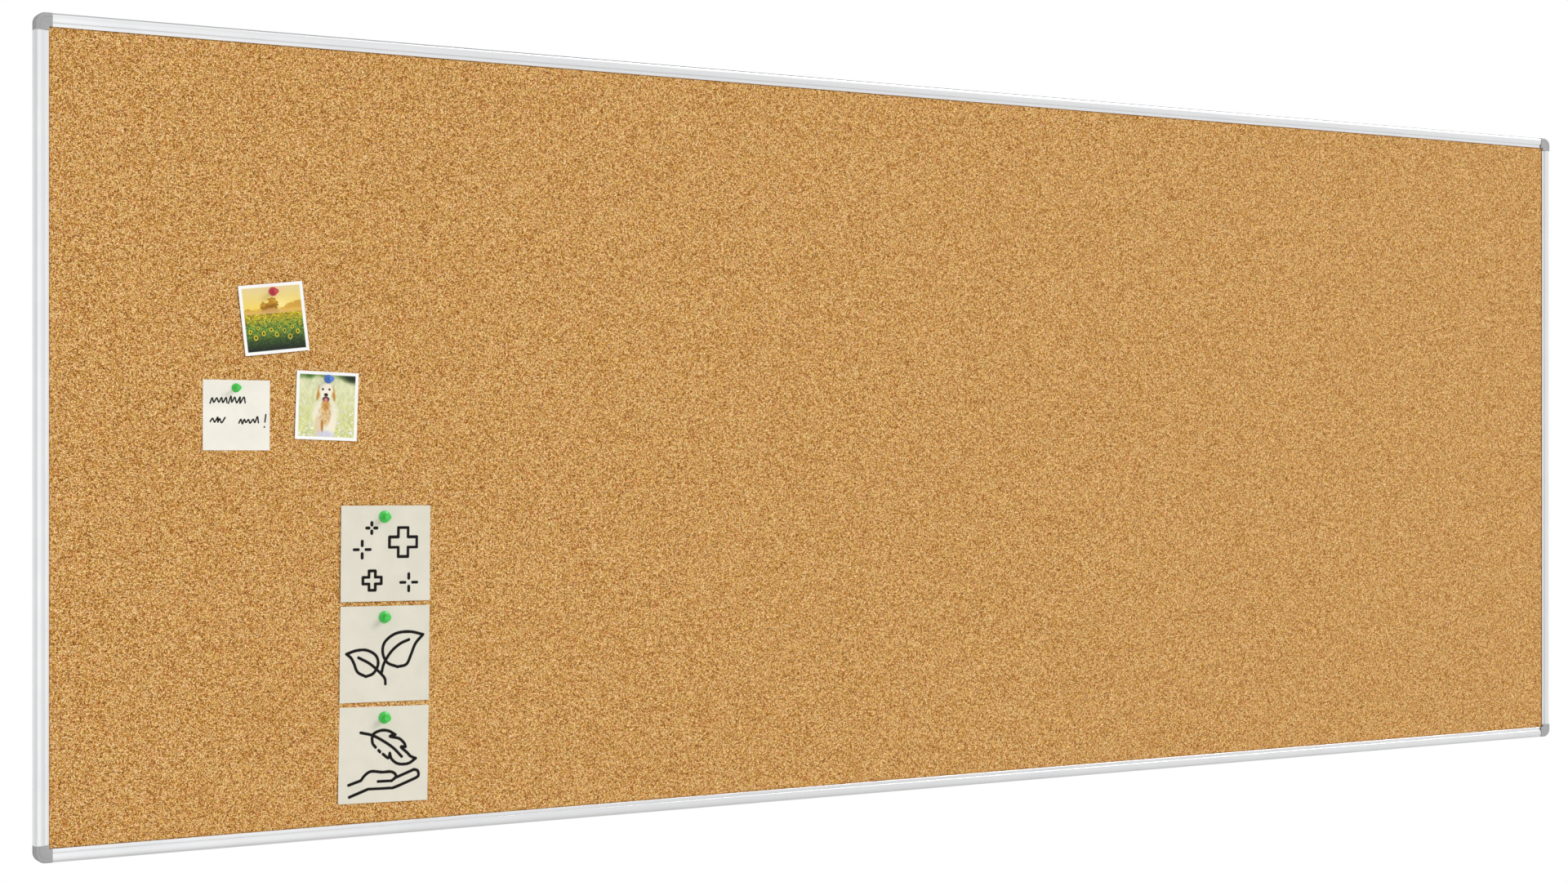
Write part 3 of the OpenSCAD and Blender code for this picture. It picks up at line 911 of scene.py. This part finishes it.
def icon(lines):
    """What paints a square note's icon."""
    return lambda x, y, size, rng: drawn(x, y, lines, ICON_PEN, NOTE, rng)


def plus_outline(centre, reach, arm):
    """Outline of a plus sign."""
    quarter = [(arm, reach), (arm, arm), (reach, arm)]
    points = []
    for turn in (0, 1, 2, 3):
        for px, py in quarter:
            for _ in range(turn):
                px, py = py, -px
            points.append((centre[0] + px, centre[1] + py))
    return [*points, points[0]]


def twinkle(centre, inner, outer):
    """Four dashes round a point."""
    x, y = centre
    return [
        [(x + inner * dx, y + inner * dy), (x + outer * dx, y + outer * dy)]
        for dx, dy in ((1, 0), (-1, 0), (0, 1), (0, -1))
    ]


def sparkle_lines():
    """Two plus signs and three twinkles."""
    lines = [plus_outline((23, 14), 18.3, 6.5), plus_outline((-18, -34), 12.2, 4.2)]
    for twinkled in (((-19, 32), 3.6, 6.9), ((-31.5, 5), 5.0, 10.6), ((31, -37), 5.0, 10.8)):
        lines += twinkle(*twinkled)
    return lines


def leaf_lines():
    """Two leaves on one stem."""
    right_top = [(51, 23), (33, 27), (14, 25), (0, 15), (-3, 2), (3, -11), (17, -17)]
    right_under = [(17, -17), (29, -14), (35, -2), (41, 12), (51, 23)]
    left_top = [(-51, 1), (-38, 5), (-24, 5), (-12, -2), (-9, -13), (-15, -24), (-25, -28)]
    left_under = [(-25, -28), (-36, -22), (-41, -11), (-45, -4), (-51, 1)]
    right_rib = [(32, 17), (20, 12), (8, 2), (-1, -12), (-4, -23)]
    left_rib = [(-35, -4), (-20, -12), (-7, -23), (0, -31), (1, -38)]
    shapes = (right_top, right_under, left_top, left_under, right_rib, left_rib)
    return [curve_through(shape) for shape in shapes]


def care_lines():
    """A lobed leaf over an open hand."""
    leaf = [
        [(-31, 28), (-15, 24), (0, 16), (13, 7), (24, -4)],
        [(-16, 19), (-14, 26), (-4, 30), (6, 29), (15, 24)],
        [(15, 24), (8, 22), (20, 19), (27, 13), (29, 8)],
        [(29, 8), (23, 8), (31, 1), (36, -4), (43, -7)],
        [(43, -7), (33, -13), (20, -13), (11, -7), (8, 1)],
        [(8, 0), (6, -5), (-1, 0)],
        [(-5, 3), (-7, 5)],
        [(-16, 21), (-15, 14), (-11, 9)],
    ]
    hand = [
        [(-46, -37), (-30, -32)],
        [(-30, -32), (-24, -25), (-16, -21), (-2, -22.5), (10, -22.5), (16, -26), (16, -30), (11, -34)],
        [(11, -34), (-7, -34)],
        [(17, -30), (41, -21)],
        [(41, -21), (46, -23), (47, -29), (43, -32)],
        [(43, -32), (16, -42), (7, -43), (-20, -43)],
        [(-20, -43), (-45, -52)],
    ]
    return [curve_through(shape) for shape in leaf + hand]


def scribble(start, width, height, rng):
    """A run of uneven strokes like fast handwriting, with no letters in it."""
    knots, along, high = [], 0.0, False
    while along < width:
        reach = height * rng.uniform(0.55, 1.0) if high else height * rng.uniform(-0.08, 0.15)
        knots.append((start[0] + along + 0.20 * reach, start[1] + reach))
        along += rng.uniform(1.2, 3.8)
        high = not high
    return curve_through(knots, 5)


def memo_picture(x, y, size, rng):
    """Two lines of scribble, and a mark of two strokes."""
    runs = (((-33, 14.5), 21, 9.0), ((-10, 15), 21, 9.0), ((-33, -9), 18, 8.0), ((3, -10), 26, 8.5))
    lines = [scribble(*run, rng) for run in runs]
    lines += [[(37.0, 1), (35.8, -8)], [(35.2, -14), (35.1, -14.6)]]
    return drawn(x, y, lines, MEMO_PEN, MEMO, rng)


def with_border(paint, x, y, size, border=4.0):
    """A photo print's white border."""
    inside = np.minimum(size[0] / 2 - np.abs(x), size[1] / 2 - np.abs(y))
    return blend(paint, 1 - soft_step(inside, border - 0.3, border + 0.3), (249, 249, 247))


def landscape_picture(x, y, size, rng):
    """A hazy field of sunflowers at dawn, with trees in the mist."""
    p, q = x / size[0] + 0.5, y / size[1] + 0.5
    paint = misty_trees(x, y, p, q, rng)
    paint = blend(paint, 1 - soft_step(q, HORIZON - 0.008, HORIZON + 0.008), field(x, y, q, rng))
    golden_step = 0.618
    for number in range(26):
        near = (number / 25) ** 1.8
        along = 0.07 + 0.86 * ((0.31 + number * golden_step) % 1)
        centre = (along, HORIZON - 0.07 - 0.27 * near - 0.02 * rng.random())
        reach = 0.016 + 0.024 * near
        petals = (238, 210, 36) if number % 5 else (210, 190, 60)
        lean = rng.uniform(0.75, 1.0)
        for r, colour in ((reach, petals), (reach * 0.52, (44, 30, 12))):
            paint = blend(paint, 0.95 * oval(p, q, centre, (r * lean, r), 0, 0.30), colour)
    return with_border(paint, x, y, size)


def misty_trees(x, y, p, q, rng):
    """A hazy yellow sky over trees, at places from 0 to 1 across and up the print."""
    height = np.clip((q - HORIZON) / (1 - HORIZON), 0, 1)
    paint = blend((255, 218, 62), height**0.6, (230, 210, 158))
    glow = np.exp(-(((p - 0.62) / 0.16) ** 2 + ((q - 0.70) / 0.09) ** 2))
    paint = blend(paint, 0.6 * glow, (255, 240, 170))
    rough = smooth_noise(x, y, 1.6, rng)
    fluff = smooth_noise(x, y, 3.2, rng)
    ragged = 0.028 * (fluff - 0.5) + 0.020 * (rough - 0.5)
    left_top = 0.645 + ragged
    right_top = 0.645 + 0.085 * soft_step(p, 0.60, 0.88) + 1.6 * ragged
    for top, side, colour in (
        (left_top, 1 - soft_step(p, 0.34, 0.42), (196, 148, 52)),
        (right_top, soft_step(p, 0.56, 0.66), (204, 150, 50)),
    ):
        trees = (1 - soft_step(q, top - 0.008, top + 0.008)) * side
        paint = blend(paint, 0.85 * trees, colour)
    crowns = ((0.47, 0.630, 0.12, 0.070), (0.42, 0.680, 0.085, 0.060), (0.50, 0.705, 0.090, 0.070))
    for right, up, half_w, half_h in crowns:
        away = np.hypot((p - right) / half_w, (q - up) / half_h)
        clump = 1 - soft_step(away + 1.1 * (fluff - 0.5) + 0.5 * (rough - 0.5), 0.88, 1.04)
        shade = np.array([190, 138, 30]) - 50 * soft_step(up - q, -0.03, 0.05)[..., None]
        paint = blend(paint, clump, shade + 34 * (rough - 0.5)[..., None])
    trunk_mist = oval(p, q, (0.475, 0.600), (0.15, 0.050), 0, 0.5)
    mist = np.exp(-(((q - HORIZON - 0.035) / 0.026) ** 2)) * (1 - 0.6 * trunk_mist)
    low_mist = np.exp(-(((q - HORIZON - 0.008) / 0.014) ** 2))
    paint = blend(paint, 0.85 * trunk_mist, (202, 156, 104))
    paint = blend(paint, 0.55 * mist, (240, 198, 96))
    return blend(paint, 0.6 * low_mist, (226, 186, 128))


def field(x, y, q, rng):
    """Leaves of a field that darkens towards the print's foot."""
    depth = np.clip((HORIZON - q) / HORIZON, 0, 1)
    ground = (178, 156, 34)
    for start, end, colour in (
        (0.02, 0.34, (104, 132, 44)),
        (0.36, 0.80, (40, 62, 26)),
        (0.70, 1.0, (10, 18, 12)),
    ):
        ground = blend(ground, soft_step(depth, start, end), colour)
    leaves = smooth_noise(x, y * 1.5, 1.7, rng) + 0.7 * smooth_noise(x + 0.5 * y, y, 0.8, rng)
    return ground * (0.42 + 0.70 * leaves[..., None])


def pet_picture(x, y, size, rng):
    """A cream dog sitting in a flowering meadow."""
    p, q = x / size[0] + 0.52, y / size[1] + 0.5
    paint = meadow(x, y, p, q, rng)
    fur = smooth_noise(x * 1.8, y * 0.7, 1.4, rng)
    return with_border(dabbed(paint, p, q, dog_dabs(fur)), x, y, size)


def meadow(x, y, p, q, rng):
    """Pale grass with dark trees behind and small flowers in front."""
    base = blend((212, 215, 146), soft_step(q, 0.25, 0.80), (221, 222, 178))
    grass = smooth_noise(x, y * 0.6, 2.2, rng)
    fine = smooth_noise(x, y, 0.9, rng)
    near = 1 - soft_step(q, 0.1, 0.6)
    light = 26 * (grass - 0.5) + 48 * near * (fine - 0.5)
    paint = base + light[..., None] * np.array([1.0, 0.9, 0.7])
    edge = 0.93 - 0.05 * smooth_noise(x, 0 * y, 9.0, rng) - 0.05 * soft_step(p, 0.6, 0.95)
    trees = soft_step(q, edge - 0.03, edge + 0.05) * (0.35 + 0.65 * smooth_noise(x, y, 8.0, rng))
    paint = blend(paint, trees, (62, 104, 30))
    paint = dabbed(paint, p, q, [((0.93, 0.95), (0.18, 0.10), -12, 0.5, 0.9, (22, 32, 16))])
    for _ in range(130):
        low = rng.random() ** 1.5
        centre = (rng.uniform(0.05, 0.95), 0.06 + 0.55 * low)
        reach = rng.uniform(0.008, 0.018) * (1.2 - 0.6 * low)
        tone = (232, 226, 244) if rng.random() < 0.6 else (244, 246, 236)
        paint = dabbed(paint, p, q, [(centre, (reach, reach), 0, 0.5, 0.8, tone)])
    return paint


def dog_dabs(fur):
    """The dog's ellipses from its body to its mouth, with fur's uneven values in the large ones."""
    cream, shade, gold, rust = (246, 236, 212), (226, 204, 164), (208, 156, 82), (178, 116, 46)
    body = (
        ((0.50, 0.36), (0.21, 0.25), 0, (242, 236, 214)),
        ((0.39, 0.20), (0.055, 0.16), 4, shade),
        ((0.61, 0.20), (0.055, 0.16), -4, cream),
        ((0.50, 0.40), (0.085, 0.20), 0, (228, 196, 140)),
        ((0.45, 0.20), (0.020, 0.10), 3, rust),
        ((0.50, 0.52), (0.060, 0.10), 0, gold),
    )
    soft, furry = 0.22, 0.80 + 0.20 * fur
    dabs = [(centre, radii, turn, soft, furry, colour) for centre, radii, turn, colour in body]
    dabs.append(((0.50, 0.42), (0.10, 0.17), 0, 0.4, 0.7 * soft_step(fur, 0.45, 0.75), rust))
    for side in (-1, 1):
        middle, tip = (0.50 + side * 0.118, 0.69), (0.50 + side * 0.135, 0.63)
        dabs.append((middle, (0.028, 0.100), side * 10, 0.25, 0.75 + 0.25 * fur, gold))
        dabs.append((tip, (0.018, 0.06), side * 10, 0.5, 0.6, rust))
    dabs.append(((0.50, 0.735), (0.112, 0.100), 0, 0.12, 1, cream))
    dabs.append(((0.50, 0.655), (0.078, 0.085), 0, 0.16, 1, (248, 240, 222)))
    for side in (-1, 1):
        dabs.append(((0.50 + side * 0.055, 0.748), (0.030, 0.022), 0, 0.5, 0.35, shade))
        dabs.append(((0.50 + side * 0.053, 0.742), (0.0175, 0.0150), 0, 0.3, 1, (24, 16, 14)))
    return dabs + [
        ((0.50, 0.600), (0.056, 0.036), 0, 0.25, 0.9, (58, 28, 28)),
        ((0.50, 0.588), (0.028, 0.026), 0, 0.3, 1, (226, 132, 140)),
        ((0.50, 0.662), (0.032, 0.024), 0, 0.25, 1, (40, 24, 24)),
        ((0.50, 0.630), (0.004, 0.018), 0, 0.5, 0.8, (60, 40, 34)),
        ((0.50, 0.08), (0.14, 0.055), 0, 0.6, 0.75, (206, 204, 236)),
    ]


PICTURES = {
    "landscape_print": landscape_picture,
    "pet_print": pet_picture,
    "memo_note": memo_picture,
    "sparkle_note": icon(sparkle_lines()),
    "leaf_note": icon(leaf_lines()),
    "care_note": icon(care_lines()),
}


# ---- Papers ----


def paper_lift(right, below, size, curl, rng):
    """How far a paper stands off the board: flat by its pin, with its lower corners curling up."""
    share = np.clip(below / size[1], 0, 1)
    side = right / (size[0] / 2)
    lean = rng.uniform(-0.25, 0.25)
    lift = curl * share**2.4 * (0.55 + 0.45 * side**2 + lean * side)
    return lift + 0.05 * share * np.sin(right / 17 + rng.uniform(0, 6))


def sheet_faces(columns, rows):
    """Faces of a closed sheet with a fine front and a coarse back, whose rim is as fine as the front.

    The front's points are numbered row by row from 0, and the back's follow in the same order.
    """
    step = BACK_STEP
    back = columns * rows
    faces = [cell_loop(i, j, columns) for j in range(rows - 1) for i in range(columns - 1)]
    for j in range(0, rows - 1, step):
        for i in range(0, columns - 1, step):
            right, top = i + step, j + step
            loop = [(k, j) for k in range(i, right, 1 if j == 0 else step)]
            loop += [(right, k) for k in range(j, top, 1 if right == columns - 1 else step)]
            loop += [(k, top) for k in range(right, i, -1 if top == rows - 1 else -step)]
            loop += [(i, k) for k in range(top, j, -1 if i == 0 else -step)]
            faces.append(tuple(back + row * columns + column for column, row in reversed(loop)))
    rim = list(range(columns))
    rim += [j * columns + columns - 1 for j in range(1, rows)]
    rim += [(rows - 1) * columns + i for i in range(columns - 2, -1, -1)]
    rim += [j * columns for j in range(rows - 2, 0, -1)]
    return faces + [(a, back + a, back + b, b) for a, b in zip(rim, rim[1:] + rim[:1])]


def add_paper(name, pin, order, materials):
    """A thin curled sheet with its picture on the front, turned about its pin."""
    width, height, tilt, pin_right, pin_drop, curl, cell = PAPERS[name]
    rng = np.random.default_rng(SEED + 10 + order)
    columns, rows = (BACK_STEP * round(size / cell / BACK_STEP) + 1 for size in (width, height))
    across = np.linspace(-width / 2, width / 2, columns)
    x, y = np.meshgrid(across, np.linspace(-height / 2, height / 2, rows))
    from_pin_x = x - pin_right
    from_pin_y = y - height / 2 + pin_drop
    lift = paper_lift(from_pin_x, -from_pin_y, (width, height), curl, rng)
    turn = math.radians(tilt)
    right = pin[0] + from_pin_x * math.cos(turn) - from_pin_y * math.sin(turn)
    up = pin[1] + from_pin_x * math.sin(turn) + from_pin_y * math.cos(turn)
    back = -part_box(name)[1].y / MM + lift
    points = []
    for out in (back + PAPER_T, back):
        points += list(zip(right.ravel(), up.ravel(), out.ravel()))
    points, faces = without_spare_points(points, sheet_faces(columns, rows))
    slot = "photo_print" if name.endswith("print") else "note_paper"
    piece = add_piece(name, points, faces, name, materials[slot], slot, sharp_deg=50.0)
    paint = np.clip(PICTURES[name](x, y, (width, height), rng), 0, 255)
    plain = np.ones((len(points) - x.size, 3)) * BACK_COLOURS[slot]
    colours = linear(np.concatenate([paint.reshape(-1, 3), plain]))
    rgba = np.concatenate([colours, np.ones((len(colours), 1))], axis=1).astype(np.float32)
    layer = piece.data.color_attributes.new("picture", "FLOAT_COLOR", "POINT")
    layer.data.foreach_set("color", rgba.ravel())


# ---- The whole scene ----


def make_materials():
    """Every material, by the record's slot. The rails have one for each direction."""
    looks = {
        "aluminium_across": (aluminium_looks, (0.012, 5.0, 5.0)),
        "aluminium_upright": (aluminium_looks, (5.0, 5.0, 0.012)),
        "cork": (cork_looks,),
        "fibreboard": (fibre_looks, (128, 100, 74), (172, 144, 112), (0.25, 1.6, 2.2)),
        "backing": (fibre_looks, (188, 188, 184), (206, 206, 203), (0.08, 1.0, 0.9)),
        "block_plastic": (moulded_looks, (122, 122, 125), (136, 136, 139), 0.35, 0.55),
        "cap_plastic": (moulded_looks, (156, 156, 157), (168, 168, 169), 0.35, 0.50),
        "screw_steel": (steel_looks, 0.30),
        "needle_steel": (steel_looks, 0.22),
        "photo_print": (paper_looks, True),
        "note_paper": (paper_looks, False),
        "red_plastic": (pin_looks, (188, 46, 66), (206, 62, 84)),
        "blue_plastic": (pin_looks, (62, 110, 200), (80, 130, 220)),
        "green_plastic": (pin_looks, (56, 190, 70), (72, 210, 84)),
    }
    materials = {}
    for name, (give_looks, *values) in looks.items():
        materials[name], tree, shader = new_material(name)
        give_looks(tree, shader, *values)
    return materials


def main():
    make_camera()
    make_world()
    make_key_light()
    make_floor()
    bpy.context.scene.view_settings.view_transform = "Standard"
    materials = make_materials()
    for side in ("top", "bottom", "left", "right"):
        way = "across" if side in ("top", "bottom") else "upright"
        add_rail(side, materials["aluminium_" + way])
    for up_name in ("top", "bottom"):
        for right_name in ("left", "right"):
            add_cap(up_name, right_name, materials["cap_plastic"])
            block = f"corner_block_{up_name}_{right_name}"
            dress_node(block, materials, "block_plastic")
            soften_edges(block, 0.2)
    dress_node("corner_screws", materials, "screw_steel")
    dress_node("fibreboard_core", materials, "fibreboard")
    dress_node("backing_sheet", materials, "backing")
    add_cork(materials["cork"])
    for order, (name, centre) in enumerate(pin_places().items()):
        paper = next(p for p in PAPERS if p.startswith(name))
        add_paper(paper, centre, order, materials)
        add_pin(name, centre, materials)


main()
